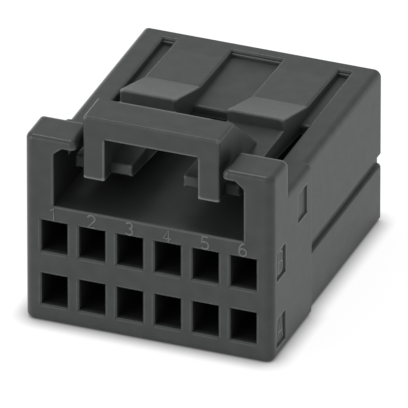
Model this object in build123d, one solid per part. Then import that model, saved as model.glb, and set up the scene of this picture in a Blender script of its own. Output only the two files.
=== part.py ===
from build123d import *
import os

# Housing of a two-row circuit board connector, moulded in one piece from plastic.
# Millimetres. X runs across the columns, Y from the wire entry face to the mating
# face, Z up. It is drawn with Y = 0 on the wire entry face and moved at the end, so
# that the origin is under the middle of the housing, on the plane it rests on.

# Contact grid
columns = 6
column_pitch = 3.81
rows = 2
row_spacing = 5.715
lower_row_height = 3.51

# Cavities: wide from the wire entry face, narrowed to a tab slot at the mating face
cavity_width = 2.64
cavity_height = 3.32
cavity_chamfer = 0.15
slot_length = 3.6
slot_width = 1.5
slot_height = 2.1
slot_lead_in = 0.35

# Recess over each cavity that the spring tongue of a contact snaps into
lance_slot_gap = 4.0
lance_length = 4.8
lance_width = 1.4
lance_height = 0.55

# Body
body_length = 30.0
side_wall = 1.255
body_top_radius = 0.7
body_bottom_radius = 0.5
body_back_chamfer = 0.2

# Collar round the wire entry end
collar_depth = 10.43
collar_proud = 0.4
collar_radius = 0.6
collar_front_radius = 0.84
collar_back_chamfer = 0.15

# Tunnel under the lever, with a well in front that is open upwards
deck_thickness = 1.765
tunnel_height = 1.85
tunnel_side_wall = 2.55
tunnel_end_wall = 2.5
window_edge = 0.18

# Recess beside the arms of the lever, behind the well, with a small ledge at its end
membrane_thickness = 1.0
recess_depth = 0.75
recess_length = 10.3
recess_end_wall = 1.4
ledge_width = 0.15
ledge_rise = 0.38

# Ears that guard the lever on both sides
ear_depth = 3.9
ear_rise = 3.57
ear_thickness = 0.97
ear_clearance = 0.47
ear_root_width = 0.85
ear_root_height = 0.7
ear_root_radius = 0.3

# Lever: two arms that rise from the hinge line, and run level in front of their wedges
arm_width = 5.75
arm_side_gap = 1.25
arm_front = 2.4
arm_front_lift = 1.4
arm_back_rise = 0.29
arm_front_rise = 0.95
hinge_land = 1.8
arm_edge = 0.3

# Latch wedge on each arm, with its catch face towards the wire entry
wedge_hinge_gap = 6.6
wedge_length = 6.4
wedge_rise = 2.2
wedge_edge = 0.18

# Press bridge across the front of the lever, on two legs that run back as gussets
bridge_inset = 1.42
bridge_leg_width = 2.19
bridge_front = 0.75
bridge_rise = 6.2
bar_depth = 3.8
bar_height = 2.2
gusset_slope = 0.83
bridge_edge = 0.3
bridge_inner_edge = 0.12

# Guide groove along each side of the body, under a sloping upper flank
groove_height = 5.95
groove_floor_rise = 0.15
groove_wall_height = 0.55
groove_flank_rise = 0.65
groove_depth = 0.43
groove_edge = 0.2

# Shallow pockets on the right side of the collar: a mark for each row, and a key mark
pocket_width = 2.45
pocket_height = 3.1
pocket_depth = 0.2
row_pocket_back_gap = 0.4
row_pocket_height = 1.1
row_pocket_spacing = 7.15
key_pocket_back_gap = 1.28
key_pocket_top_gap = 1.5

# How far a shape reaches into the one it joins, or a cut past the face that it opens
overlap = 0.5

# Two places closer together than this are the same
same_place = 0.001

# Half widths
half_body = column_pitch * (columns - 1) / 2 + cavity_width / 2 + side_wall
half_collar = half_body + collar_proud
half_tunnel = half_body - tunnel_side_wall
arm_outer = half_tunnel - arm_side_gap
arm_inner = arm_outer - arm_width
half_bridge = arm_outer - bridge_inset
half_bridge_opening = half_bridge - bridge_leg_width
half_ear_gap = half_bridge + ear_clearance

# Heights above the base
upper_cavity_top = lower_row_height + row_spacing * (rows - 1) + cavity_height / 2
tunnel_floor = upper_cavity_top + deck_thickness
tunnel_roof = tunnel_floor + tunnel_height
recess_floor = tunnel_roof + membrane_thickness
body_height = recess_floor + recess_depth
ear_top = body_height + ear_rise
ear_underside = ear_top - ear_thickness
arm_front_bottom = tunnel_roof + arm_front_lift
arm_back_top = body_height + arm_back_rise
arm_front_top = body_height + arm_front_rise
wedge_top = body_height + wedge_rise
bridge_top = body_height + bridge_rise
bar_bottom = bridge_top - bar_height
groove_top = groove_height + groove_floor_rise + groove_wall_height + groove_flank_rise

# Depths behind the wire entry face
slot_start = body_length - slot_length
tunnel_end = body_length - tunnel_end_wall
recess_end = body_length - recess_end_wall
well_end = recess_end - recess_length
hinge_line = recess_end - hinge_land
wedge_start = hinge_line - wedge_hinge_gap
wedge_catch = wedge_start - wedge_length
bar_back = bridge_front + bar_depth


def outline_prism(plane, corners, depth):
    """Closed outline pulled out from a plane. A corner may end with a radius."""
    points = [corner[:2] for corner in corners]
    radii = [corner[2] if len(corner) > 2 else 0 for corner in corners]
    outline = FilletPolyline(*points, radius=radii, close=True)
    return extrude(plane * make_face(outline), amount=depth)


def front_prism(corners, start, end):
    """Outline in X and Z, from one depth behind the wire entry face to another."""
    plane = Plane(origin=(0, end, 0), x_dir=(1, 0, 0), z_dir=(0, -1, 0))
    return outline_prism(plane, corners, end - start)


def side_prism(corners, left, right):
    """Outline in Y and Z, from one X to another."""
    plane = Plane(origin=(left, 0, 0), x_dir=(0, 1, 0), z_dir=(1, 0, 0))
    return outline_prism(plane, corners, right - left)


def block(across, along, upright):
    """Box between its two limits in X, in Y and in Z."""
    ranges = (across, along, upright)
    middle = [(low + high) / 2 for low, high in ranges]
    return Pos(*middle) * Box(*[high - low for low, high in ranges])


def both_sides(shape):
    """A shape and its mirror image across the middle plane."""
    return [shape, mirror(shape, about=Plane.YZ)]


def same(one, other):
    """Whether two measures are equal."""
    return abs(one - other) < same_place


def edges_in_plane(shape, axis, place):
    """Edges that lie wholly at one place on an axis."""
    return [
        edge
        for edge in shape.edges()
        if all(same(axis.direction.dot(edge @ share), place) for share in (0, 0.5, 1))
    ]


def collar_front():
    """Front slab of the collar, with both ears and the window between them."""
    edge_radius = min(collar_radius, ear_thickness - 2 * window_edge)
    right_half = [
        (half_collar, 0),
        (half_collar, ear_top),
        (half_ear_gap, ear_top, edge_radius),
        (half_ear_gap, ear_underside),
        (half_tunnel - ear_root_width, ear_underside, ear_root_radius),
        (half_tunnel, ear_underside - ear_root_height, ear_root_radius),
        (half_tunnel, tunnel_floor),
    ]
    left_half = [(-corner[0], *corner[1:]) for corner in reversed(right_half)]
    slab = front_prism(right_half + left_half, 0, ear_depth)
    corners = [
        edge for edge in edges_in_plane(slab, Axis.Y, 0) if same(abs(edge.center().X), half_collar)
    ]
    slab = fillet(corners, collar_front_radius)

    def in_window(edge):
        middle = edge.center()
        beside = abs(middle.X) < half_tunnel + window_edge
        return beside and tunnel_floor - window_edge < middle.Z < ear_underside + window_edge

    def round_top_or_base(edge):
        middle = edge.center()
        level = same(middle.Z, 0) or same(middle.Z, ear_top)
        return level and abs(middle.X) > half_collar - collar_front_radius

    outside = [edge for edge in edges_in_plane(slab, Axis.Y, 0) if not in_window(edge)]
    outside += [
        edge
        for edge in slab.edges()
        if round_top_or_base(edge) and not same(edge.center().Y, 0) and not same(edge.center().Y, ear_depth)
    ]
    slab = fillet(outside, edge_radius)
    window = [edge for edge in edges_in_plane(slab, Axis.Y, 0) if in_window(edge)]
    return fillet(window, window_edge)


def collar_side():
    """Right side of the collar behind the front slab, where it stands proud of the body."""
    inner = half_body - body_top_radius - overlap
    corners = [
        (inner, 0),
        (half_collar, 0, collar_radius),
        (half_collar, body_height, collar_radius),
        (inner, body_height),
    ]
    plate = front_prism(corners, ear_depth, collar_depth)
    return chamfer(edges_in_plane(plate, Axis.Y, collar_depth), collar_back_chamfer)


def lever_arm():
    """Right arm of the lever with its latch wedge, down to the roof of the tunnel."""
    side = [
        (arm_front, arm_front_bottom),
        (arm_front, arm_front_top),
        (wedge_catch, arm_front_top),
        (wedge_catch, wedge_top),
        (wedge_start, arm_back_top),
        (hinge_line, body_height),
        (hinge_line, tunnel_roof),
        (well_end, tunnel_roof),
    ]
    return side_prism(side, arm_inner, arm_outer)


def hollow_body():
    """Body behind the front slab, with the tunnel, the well and the recess cut into it."""
    corners = [
        (-half_body, 0, body_bottom_radius),
        (half_body, 0, body_bottom_radius),
        (half_body, body_height, body_top_radius),
        (-half_body, body_height, body_top_radius),
    ]
    body = front_prism(corners, ear_depth, body_length)
    body = chamfer(edges_in_plane(body, Axis.Y, body_length), body_back_chamfer)
    inside = (-half_tunnel, half_tunnel)
    above = body_height + overlap
    body -= block(inside, (ear_depth, tunnel_end), (tunnel_floor, tunnel_roof))
    body -= block(inside, (ear_depth, well_end), (tunnel_floor, above))
    for gap in ((-half_tunnel, -arm_outer), (-arm_inner, arm_inner), (arm_outer, half_tunnel)):
        body -= block(gap, (well_end, recess_end - ledge_width), (recess_floor, above))
        body -= block(gap, (well_end, recess_end), (recess_floor + ledge_rise, above))
    return body


def body_with_lever():
    """Hollow body and lever arms as one, with the edges along the gaps rounded."""
    body = hollow_body()
    for arm in both_sides(lever_arm()):
        body += arm
    body = fillet(edges_in_plane(body, Axis.Z, wedge_top), wedge_edge)

    def beside_gap(edge):
        return any(same(abs(edge.center().X), place) for place in (half_tunnel, arm_inner, arm_outer))

    rims = [
        edge
        for edge in body.edges()
        if edge.center().Z > body_height - same_place
        and (beside_gap(edge) or same(edge.center().Y, recess_end))
    ]
    arm_ends = [edge for edge in edges_in_plane(body, Axis.Y, arm_front) if edge not in rims]
    membrane_ends = [
        edge
        for edge in edges_in_plane(body, Axis.Y, well_end)
        if same(edge.center().Z, recess_floor)
    ]
    return fillet(rims + arm_ends + membrane_ends, arm_edge)


def press_bridge():
    """Press bridge with its legs, which end inside the lever arms."""
    foot = bar_back + (bridge_top - arm_front_top) / gusset_slope
    buried = foot + overlap
    side = [
        (bridge_front, arm_front_bottom),
        (bridge_front, bridge_top),
        (bar_back, bridge_top),
        (buried, bridge_top - gusset_slope * (buried - bar_back)),
        (arm_front + arm_edge, arm_front_bottom),
    ]
    solid = side_prism(side, -half_bridge, half_bridge)

    def exposed(edge):
        middle = edge.center()
        at_front = same(middle.Y, bridge_front)
        return middle.Z > arm_front_top and (at_front or not same(middle.X, 0))

    solid = fillet([edge for edge in solid.edges() if exposed(edge)], bridge_edge)
    between = (-half_bridge_opening, half_bridge_opening)
    below = arm_front_bottom - overlap
    solid -= block(between, (bridge_front - overlap, buried + overlap), (below, bar_bottom))
    solid -= block(between, (bar_back, buried + overlap), (below, bridge_top + overlap))
    opening = [
        edge
        for edge in edges_in_plane(solid, Axis.Y, bridge_front)
        if abs(edge.center().X) < half_bridge_opening + same_place
        and edge.center().Z < bar_bottom + same_place
    ]
    return fillet(opening, bridge_inner_edge)


def cavity_middles():
    """Middle of each cavity, in X and Z."""
    first_column = -column_pitch * (columns - 1) / 2
    return [
        (first_column + column * column_pitch, lower_row_height + row * row_spacing)
        for row in range(rows)
        for column in range(columns)
    ]


def cavity(x, z):
    """Space of one cavity, with the lance recess over it and the tab slot behind it."""
    top = z + cavity_height / 2
    across = (x - cavity_width / 2, x + cavity_width / 2)
    space = block(across, (-overlap, slot_start), (z - cavity_height / 2, top))
    lance_across = (x - lance_width / 2, x + lance_width / 2)
    lance_end = slot_start - lance_slot_gap
    space += block(lance_across, (lance_end - lance_length, lance_end), (z, top + lance_height))
    slot_across = (x - slot_width / 2, x + slot_width / 2)
    slot_upright = (z - slot_height / 2, z + slot_height / 2)
    return space + block(slot_across, (slot_start - overlap, body_length + overlap), slot_upright)


def opening_edges(shape, depth, width, height):
    """Edges round the openings of the cavities at a depth where they have this size."""
    found = []
    for edge in edges_in_plane(shape, Axis.Y, depth):
        middle = edge.center()
        for x, z in cavity_middles():
            beside = abs(middle.X - x) < width / 2 + same_place
            if beside and abs(middle.Z - z) < height / 2 + same_place:
                found.append(edge)
    return found


def guide_groove():
    """Space of the guide groove in the right side of the body."""
    wall = half_body - groove_depth
    wall_bottom = groove_height + groove_floor_rise
    outline = [
        (half_body + overlap, groove_height),
        (half_body, groove_height),
        (wall, wall_bottom),
        (wall, wall_bottom + groove_wall_height),
        (half_body, groove_top),
        (half_body + overlap, groove_top),
    ]
    return front_prism(outline, collar_depth, body_length + overlap)


def groove_lips(shape):
    """Long outer edges of both guide grooves."""
    return [
        edge
        for edge in shape.edges()
        if same(abs(edge.center().X), half_body)
        and (same(edge.center().Z, groove_height) or same(edge.center().Z, groove_top))
    ]


def mark_pockets():
    """Spaces of the pockets in the right side of the collar."""
    key_front = collar_depth - key_pocket_back_gap - pocket_width
    key_height = body_height - key_pocket_top_gap - pocket_height
    row_front = ear_depth - row_pocket_back_gap - pocket_width
    corners = [(row_front, row_pocket_height + row * row_pocket_spacing) for row in range(rows)]
    corners.append((key_front, key_height))
    depth = (half_collar - pocket_depth, half_collar + overlap)
    return [block(depth, (y, y + pocket_width), (z, z + pocket_height)) for y, z in corners]


def make_housing():
    """Whole housing as one solid."""
    solid = body_with_lever()
    for space in both_sides(guide_groove()):
        solid -= space
    for side in both_sides(collar_side()):
        solid += side
    solid += collar_front()
    solid += press_bridge()
    for x, z in cavity_middles():
        solid -= cavity(x, z)
    solid = chamfer(opening_edges(solid, 0, cavity_width, cavity_height), cavity_chamfer)
    solid = chamfer(opening_edges(solid, body_length, slot_width, slot_height), slot_lead_in)
    solid = fillet(groove_lips(solid), groove_edge)
    for space in mark_pockets():
        solid -= space
    return solid


housing = Pos(0, -body_length / 2, 0) * make_housing()
os.makedirs("parts", exist_ok=True)
export_step(housing, "parts/housing.step")
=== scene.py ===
import math

import bpy
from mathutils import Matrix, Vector


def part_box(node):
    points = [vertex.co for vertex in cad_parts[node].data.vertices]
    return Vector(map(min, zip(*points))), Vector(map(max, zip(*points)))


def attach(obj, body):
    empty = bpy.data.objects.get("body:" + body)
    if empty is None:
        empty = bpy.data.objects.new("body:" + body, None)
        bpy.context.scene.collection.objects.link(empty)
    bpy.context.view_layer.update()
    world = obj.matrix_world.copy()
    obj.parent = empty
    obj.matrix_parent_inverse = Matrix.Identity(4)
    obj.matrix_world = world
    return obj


# Dressed model of a circuit board connector housing. Metres, in the frame of the solid
# housing: X across the columns, Y from the wire entry face to the mating face, Z up.
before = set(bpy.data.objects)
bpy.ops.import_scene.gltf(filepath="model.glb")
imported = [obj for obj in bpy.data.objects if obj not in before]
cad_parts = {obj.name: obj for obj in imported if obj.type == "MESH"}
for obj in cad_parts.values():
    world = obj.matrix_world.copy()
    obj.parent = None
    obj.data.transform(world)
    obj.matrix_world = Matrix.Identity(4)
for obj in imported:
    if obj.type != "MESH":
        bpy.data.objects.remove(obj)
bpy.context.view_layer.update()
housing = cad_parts["housing"]
low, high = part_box("housing")

millimetre = 0.001

# Camera: a long lens, from the view's angles and the width that the picture takes in
view_azimuth = math.radians(21.1)
view_elevation = math.radians(28.987)
half_angle = math.radians(0.62)
picture_width = 38.66 * millimetre
sensor_width = 36.0
clip_ratio = 10
aim = Vector((-1.222, 2.722, 5.378)) * millimetre

# Numbers over the columns, raised on the wire entry face
columns = 6
column_pitch = 3.81 * millimetre
digit_height = 1.3 * millimetre
digit_middle = 11.75 * millimetre
digit_stroke_radius = 0.1 * millimetre
digit_flatness = 0.7

# Row marks, raised on the floors of the pockets in the right side of the collar
row_mark_height = 2.2 * millimetre
row_mark_depth = 2.45 * millimetre
row_mark_middles = {"a": 2.65 * millimetre, "b": 9.8 * millimetre}
row_mark_stroke_radius = 0.12 * millimetre
row_mark_flatness = 0.4
pocket_depth = 0.2 * millimetre

# Angle between two points of an arc in a mark, in degrees, and roundness of its strokes
arc_step = 15.0
fewest_arc_steps = 2
stroke_roundness = 3

# Plastic: a moulded grain, softly mottled, with a painted highlight along outward edges and painted shade
# in the cavities and the bay of the lever
plastic_dark = (0.046, 0.050, 0.049, 1.0)
plastic_light = (0.056, 0.060, 0.059, 1.0)
# Painted highlight colour along outward edges
plastic_edge_highlight = (0.175, 0.183, 0.181, 1.0)
# Painted highlight colour that lightens the raised digits all over
plastic_mark_highlight = (0.145, 0.152, 0.150, 1.0)
# Near black, a painted shade for the cavities and the bay of the lever
plastic_painted_shade = (0.004, 0.004, 0.004, 1.0)
mottle_size = 1.5 * millimetre
mottle_detail = 4.0
grain_size = 0.09 * millimetre
grain_detail = 3.0
grain_height = 0.004 * millimetre
grain_strength = 0.6
noise_span = (0.3, 0.7)
face_roughness = (0.40, 0.48)
edge_roughness = 0.26
refraction = 1.38
plastic_samples = 16

# Painted highlight along edges, from the share of the inward directions that stay in plastic: where an
# edge starts, and its middle
edge_reach = 0.4 * millimetre
edge_span = (0.90, 0.58)

# Largest part of a normal along one axis: on square faces, and on rounded edges
square_span = (0.965, 0.92)

# Bay of the lever, where painted shade makes the plastic darker the less open air it has
bay_half_width = 9.56 * millimetre
bay_low = 12.6 * millimetre
bay_floor_top = 14.0 * millimetre
bay_front = 6.0 * millimetre
bay_fade = 1.5 * millimetre
bay_reach = 8.0 * millimetre
bay_shade = 0.3
bay_span = (0.88, 0.58)

# Block of the body that holds the cavities, whose walls are made rough and painted near black, a painted
# shade
cavity_half_width = 11.2 * millimetre
cavity_low = 1.2 * millimetre
cavity_high = 11.8 * millimetre
cavity_mouth = 0.15 * millimetre
cavity_dark_depth = 0.9 * millimetre

# Light levels, where 1 shows white as white
background_white = 1.0
ambient = 0.60
horizon_rise = 0.35
backdrop_side = 0.4

# Softboxes: azimuth and elevation in degrees, light level, and width in metres
softbox_distance = 0.6
softboxes = {
    "overhead": (238, 68, 0.19, 0.21),
    "low_back": (205, 12, 0.02, 0.30),
    "left_front": (-45, 20, 0.43, 0.48),
}

# Floor and the housing's shadow on it: mostly a painted shadow from occlusion, with a small share cast by
# the lamps
floor_half_width = 1.5
floor_colour = (0.8, 0.8, 0.8, 1.0)
shadow_samples = 32
shadow_reach = 1.85 * millimetre
shadow_power = 1.35
floor_lit_share = 0.15
floor_glow = 1.10


def node_tree(owner):
    """Empty node tree of a material or world."""
    owner.use_nodes = True
    owner.node_tree.nodes.clear()
    return owner.node_tree


def linked(tree, kind, inputs=None, **settings):
    """New node with its settings, and with values or outputs of other nodes on its inputs."""
    node = tree.nodes.new(kind)
    for name, value in settings.items():
        setattr(node, name, value)
    for name, value in (inputs or {}).items():
        if isinstance(value, bpy.types.NodeSocket):
            tree.links.new(value, node.inputs[name])
        else:
            node.inputs[name].default_value = value
    return node


def calculated(tree, operation, *values):
    """Output of a Math node."""
    return linked(tree, "ShaderNodeMath", dict(enumerate(values)), operation=operation).outputs[0]


def ramped(tree, value, start, end, from_value=0.0, to_value=1.0):
    """Value mapped smoothly from one range to another."""
    inputs = {
        "Value": value, "From Min": start, "From Max": end, "To Min": from_value, "To Max": to_value,
    }
    return linked(tree, "ShaderNodeMapRange", inputs, interpolation_type="SMOOTHSTEP").outputs[0]


def blended(tree, factor, one, other):
    """Colour between two colours."""
    inputs = {"Factor": factor, "A": one, "B": other}
    return linked(tree, "ShaderNodeMix", inputs, data_type="RGBA").outputs[2]


def in_cavities(tree, place):
    """How far a point lies inside the cavities, for painted shade and roughness on their walls: 0 on the
    outside, 1 past their mouths.
    """
    x, y, z = linked(tree, "ShaderNodeSeparateXYZ", {"Vector": place}).outputs
    across = calculated(tree, "LESS_THAN", calculated(tree, "ABSOLUTE", x), cavity_half_width)
    above = calculated(tree, "GREATER_THAN", z, cavity_low)
    below = calculated(tree, "LESS_THAN", z, cavity_high)
    front = ramped(tree, y, low.y + cavity_mouth, low.y + cavity_dark_depth)
    back = calculated(tree, "LESS_THAN", y, high.y - cavity_dark_depth)
    inside = calculated(tree, "MULTIPLY", calculated(tree, "MULTIPLY", above, below), across)
    return calculated(tree, "MULTIPLY", inside, calculated(tree, "MULTIPLY", front, back))


def painted_edge_highlight(tree):
    """How near a point lies to an outward edge, from 0 to 1, for a painted highlight along it."""
    depth = linked(
        tree, "ShaderNodeAmbientOcclusion", {"Distance": edge_reach},
        samples=plastic_samples, inside=True, only_local=True,
    )
    return ramped(tree, depth.outputs["AO"], *edge_span)


def off_square(tree):
    """0 on the faces square to the axes, 1 on the rounded edges between them."""
    normal = linked(tree, "ShaderNodeNewGeometry").outputs["Normal"]
    parts = linked(tree, "ShaderNodeVectorMath", {0: normal}, operation="ABSOLUTE").outputs[0]
    x, y, z = linked(tree, "ShaderNodeSeparateXYZ", {"Vector": parts}).outputs
    largest = calculated(tree, "MAXIMUM", calculated(tree, "MAXIMUM", x, y), z)
    return ramped(tree, largest, *square_span)


def painted_bay_shade(tree, place):
    """How deep a point lies in the bay of the lever, as painted shade: 0 in the open, near 1 inside the
    tunnel.
    """
    x, y, z = linked(tree, "ShaderNodeSeparateXYZ", {"Vector": place}).outputs
    across = calculated(tree, "LESS_THAN", calculated(tree, "ABSOLUTE", x), bay_half_width)
    above = calculated(tree, "GREATER_THAN", z, bay_low)
    near_floor = ramped(tree, z, bay_floor_top + bay_fade, bay_floor_top)
    in_front = ramped(tree, y, low.y + bay_front + bay_fade, low.y + bay_front)
    low_or_front = calculated(tree, "MAXIMUM", near_floor, in_front)
    open_air = linked(
        tree, "ShaderNodeAmbientOcclusion", {"Distance": bay_reach},
        samples=plastic_samples, only_local=True,
    )
    deep = ramped(tree, open_air.outputs["AO"], *bay_span, 0.0, 1 - bay_shade)
    inside = calculated(tree, "MULTIPLY", calculated(tree, "MULTIPLY", across, above), low_or_front)
    return calculated(tree, "MULTIPLY", deep, inside)


def moulded_plastic(name, dark, light, highlight_colour):
    """Grey moulded plastic with a fine eroded grain, mottled, with a painted highlight along outward
    edges and painted shade in the bay of the lever and in the cavities.
    """
    material = bpy.data.materials.new(name)
    tree = node_tree(material)
    place = linked(tree, "ShaderNodeTexCoord").outputs["Object"]
    mottle = linked(
        tree, "ShaderNodeTexNoise", {"Vector": place, "Scale": 1 / mottle_size, "Detail": mottle_detail}
    ).outputs["Fac"]
    grain = linked(
        tree, "ShaderNodeTexNoise", {"Vector": place, "Scale": 1 / grain_size, "Detail": grain_detail}
    ).outputs["Fac"]
    edge = painted_edge_highlight(tree)
    cavity = in_cavities(tree, place)
    colour = blended(tree, ramped(tree, mottle, *noise_span), dark, light)
    # Painted highlight: lighter colour near outward edges
    colour = blended(tree, edge, colour, highlight_colour)
    # Painted shade: darker in the bay of the lever where it has less open air
    bay = painted_bay_shade(tree, place)
    colour = blended(tree, bay, colour, plastic_painted_shade)
    # Painted shade: near black inside the cavities
    colour = blended(tree, cavity, colour, plastic_painted_shade)
    rough = ramped(tree, grain, *noise_span, *face_roughness)
    rough = linked(
        tree, "ShaderNodeMix", {"Factor": off_square(tree), "A": rough, "B": edge_roughness}
    ).outputs[0]
    rough = calculated(tree, "MAXIMUM", rough, calculated(tree, "MAXIMUM", cavity, bay))
    bump = linked(
        tree, "ShaderNodeBump", {"Height": grain, "Strength": grain_strength, "Distance": grain_height}
    ).outputs[0]
    surface = linked(
        tree,
        "ShaderNodeBsdfPrincipled",
        {"Base Color": colour, "Roughness": rough, "IOR": refraction, "Normal": bump},
    )
    linked(tree, "ShaderNodeOutputMaterial", {"Surface": surface.outputs["BSDF"]})
    return material


def arc(middle, radii, start, end):
    """Points along an elliptic arc between two angles in degrees, from +u towards +v."""
    steps = max(fewest_arc_steps, round(abs(end - start) / arc_step))
    angles = [math.radians(start + (end - start) * step / steps) for step in range(steps + 1)]
    return [
        (middle[0] + radii[0] * math.cos(angle), middle[1] + radii[1] * math.sin(angle))
        for angle in angles
    ]


def glyphs():
    """Strokes of each mark, on a field 1 high whose middle is at (0, 0)."""
    return {
        "1": [[(-0.24, 0.26), (0.0, 0.5), (0.0, -0.5)]],
        "2": [arc((0.0, 0.22), (0.28, 0.28), 165, -35) + [(-0.28, -0.5), (0.3, -0.5)]],
        "3": [arc((0.0, 0.26), (0.24, 0.24), 155, -90), arc((0.0, -0.24), (0.27, 0.26), 90, -155)],
        "4": [[(0.12, -0.5), (0.12, 0.5), (-0.3, -0.22), (0.3, -0.22)]],
        "5": [[(0.26, 0.5), (-0.2, 0.5), (-0.24, 0.03)] + arc((0.0, -0.2), (0.28, 0.3), 128, -148)],
        "6": [
            arc((0.08, -0.14), (0.36, 0.64), 80, 180),
            arc((0.0, -0.2), (0.28, 0.3), 180, -180),
        ],
        "a": [[(-0.32, -0.5), (0.0, 0.5), (0.32, -0.5)], [(-0.2, -0.14), (0.2, -0.14)]],
        "b": [
            [(-0.28, -0.5), (-0.28, 0.5), (0.04, 0.5)] + arc((0.04, 0.26), (0.2, 0.24), 90, -90)
            + [(-0.28, 0.02), (0.06, 0.02)] + arc((0.06, -0.24), (0.24, 0.26), 90, -90)
            + [(-0.28, -0.5)],
        ],
    }


def raised_mark(name, strokes, middle, right, height, radius, flatness, finish):
    """Mark made of round strokes, half sunk into their face and pressed flat towards it."""
    outward = right.cross(Vector((0, 0, 1)))
    curve = bpy.data.curves.new(name, "CURVE")
    curve.dimensions = "3D"
    curve.bevel_depth = radius
    curve.bevel_resolution = stroke_roundness
    curve.use_fill_caps = True
    for stroke in strokes:
        spline = curve.splines.new("POLY")
        spline.points.add(len(stroke) - 1)
        for point, (u, v) in zip(spline.points, stroke):
            point.co = (*(middle + right * u * height + Vector((0, 0, v * height))), 1)
    outline = bpy.data.objects.new(name, curve)
    mesh = bpy.data.meshes.new_from_object(outline)
    bpy.data.objects.remove(outline)
    mark = bpy.data.objects.new(name, mesh)
    for vertex in mark.data.vertices:
        vertex.co -= outward * outward.dot(vertex.co - middle) * (1 - flatness)
    bpy.context.scene.collection.objects.link(mark)
    mark.data.materials.clear()
    mark.data.materials.append(finish)
    mark.data.polygons.foreach_set("use_smooth", [True] * len(mark.data.polygons))
    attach(mark, "root")


def add_marks():
    """Numbers over the columns and a letter for each row."""
    strokes = glyphs()
    for column in range(columns):
        x = (column - (columns - 1) / 2) * column_pitch
        middle = Vector((x, low.y, digit_middle))
        digit = str(column + 1)
        raised_mark(
            "column_number_" + digit, strokes[digit], middle, Vector((1, 0, 0)),
            digit_height, digit_stroke_radius, digit_flatness, painted_highlight_plastic,
        )
    for letter, z in row_mark_middles.items():
        middle = Vector((high.x - pocket_depth, low.y + row_mark_depth, z))
        raised_mark(
            "row_letter_" + letter, strokes[letter], middle, Vector((0, 1, 0)),
            row_mark_height, row_mark_stroke_radius, row_mark_flatness, plastic,
        )


def aimed(thing, place, target):
    """Places a camera or lamp and turns it to a target."""
    thing.location = place
    thing.rotation_euler = (target - place).to_track_quat("-Z", "Y").to_euler()


def direction(azimuth, elevation):
    """Unit vector from the housing at an azimuth, 0 in front of the wire entry face."""
    return Vector((
        math.sin(azimuth) * math.cos(elevation),
        -math.cos(azimuth) * math.cos(elevation),
        math.sin(elevation),
    ))


def add_camera():
    """Camera on the photograph's line of view."""
    camera = bpy.data.objects.new("camera", bpy.data.cameras.new("camera"))
    bpy.context.scene.collection.objects.link(camera)
    camera.data.sensor_width = sensor_width
    camera.data.lens = sensor_width / 2 / math.tan(half_angle)
    distance = picture_width / 2 / math.tan(half_angle)
    aimed(camera, aim + direction(view_azimuth, view_elevation) * distance, aim)
    camera.data.clip_start = distance / clip_ratio
    camera.data.clip_end = distance * clip_ratio
    bpy.context.scene.camera = camera


def background_rays(tree):
    """1 for rays from the camera, and 1 for those mirrored or passed on: both see the background."""
    ray = linked(tree, "ShaderNodeLightPath")
    reflected = calculated(
        tree, "MAXIMUM", ray.outputs["Is Glossy Ray"], ray.outputs["Is Transmission Ray"]
    )
    return ray.outputs["Is Camera Ray"], reflected


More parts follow.
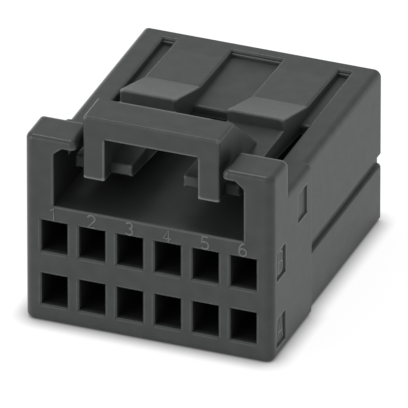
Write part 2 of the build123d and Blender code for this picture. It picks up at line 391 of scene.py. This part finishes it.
def add_floor():
    """White floor with the housing's shadow, darkest where it touches: a painted shadow dims its glow by
    occlusion, and a small lit share keeps the shadow that the lamps cast.
    """
    half = floor_half_width
    mesh = bpy.data.meshes.new("floor")
    mesh.from_pydata(
        [(-half, -half, 0), (half, -half, 0), (half, half, 0), (-half, half, 0)], [], [(0, 1, 2, 3)]
    )
    floor = bpy.data.objects.new("floor", mesh)
    bpy.context.scene.collection.objects.link(floor)
    material = bpy.data.materials.new("floor")
    tree = node_tree(material)
    camera_ray, reflected = background_rays(tree)
    open_air = linked(
        tree, "ShaderNodeAmbientOcclusion", {"Distance": shadow_reach}, samples=shadow_samples
    ).outputs["AO"]
    # Painted shadow: the white glow dims where the housing shuts out open air
    contact = calculated(tree, "POWER", open_air, shadow_power)
    glow = calculated(tree, "MULTIPLY", contact, floor_glow)
    white = linked(tree, "ShaderNodeEmission", {"Color": (1, 1, 1, 1), "Strength": glow})
    lit = linked(tree, "ShaderNodeBsdfDiffuse", {"Color": floor_colour})
    partly = linked(tree, "ShaderNodeMixShader", {"Fac": 1 - floor_lit_share})
    tree.links.new(lit.outputs[0], partly.inputs[1])
    tree.links.new(white.outputs[0], partly.inputs[2])
    seen = linked(
        tree, "ShaderNodeMixShader", {"Fac": calculated(tree, "MAXIMUM", camera_ray, reflected)}
    )
    tree.links.new(lit.outputs[0], seen.inputs[1])
    tree.links.new(partly.outputs[0], seen.inputs[2])
    linked(tree, "ShaderNodeOutputMaterial", {"Surface": seen.outputs[0]})
    mesh.materials.append(material)


def light_world():
    """Even studio surroundings, white where the camera sees them and low down behind the housing."""
    world = bpy.data.worlds.new("studio")
    bpy.context.scene.world = world
    tree = node_tree(world)
    camera_ray, reflected = background_rays(tree)
    heading = linked(
        tree, "ShaderNodeSeparateXYZ", {"Vector": linked(tree, "ShaderNodeTexCoord").outputs["Generated"]}
    ).outputs
    low_down = ramped(tree, heading["Z"], horizon_rise, 0.0)
    behind = ramped(tree, heading["Y"], -backdrop_side, backdrop_side)
    white = calculated(tree, "MULTIPLY", low_down, behind)
    backdrop = ramped(tree, white, 0.0, 1.0, ambient, background_white)
    strength = linked(
        tree, "ShaderNodeMix", {"Factor": reflected, "A": ambient, "B": backdrop}
    ).outputs[0]
    strength = linked(
        tree, "ShaderNodeMix", {"Factor": camera_ray, "A": strength, "B": background_white}
    ).outputs[0]
    surround = linked(tree, "ShaderNodeBackground", {"Color": (1, 1, 1, 1), "Strength": strength})
    linked(tree, "ShaderNodeOutputWorld", {"Surface": surround.outputs[0]})


def add_softbox(name, azimuth, elevation, level, size):
    """Square lamp that lights a surface facing it at a level, where 1 shows white as white."""
    light = bpy.data.lights.new(name, "AREA")
    light.shape = "SQUARE"
    light.size = size
    light.energy = level * (math.pi * softbox_distance) ** 2
    lamp = bpy.data.objects.new(name, light)
    bpy.context.scene.collection.objects.link(lamp)
    middle = (low + high) / 2
    towards = direction(math.radians(azimuth), math.radians(elevation))
    aimed(lamp, middle + towards * softbox_distance, middle)


bpy.context.scene.view_settings.view_transform = "Standard"
plastic = moulded_plastic("moulded_plastic", plastic_dark, plastic_light, plastic_edge_highlight)
# Lighter plastic for the digits: a painted highlight on their strokes
painted_highlight_plastic = moulded_plastic("painted_highlight_plastic", plastic_light, plastic_mark_highlight, plastic_mark_highlight)
housing.data.materials.clear()
housing.data.materials.append(plastic)
add_marks()
add_camera()
add_floor()
light_world()
for softbox, values in softboxes.items():
    add_softbox(softbox, *values)
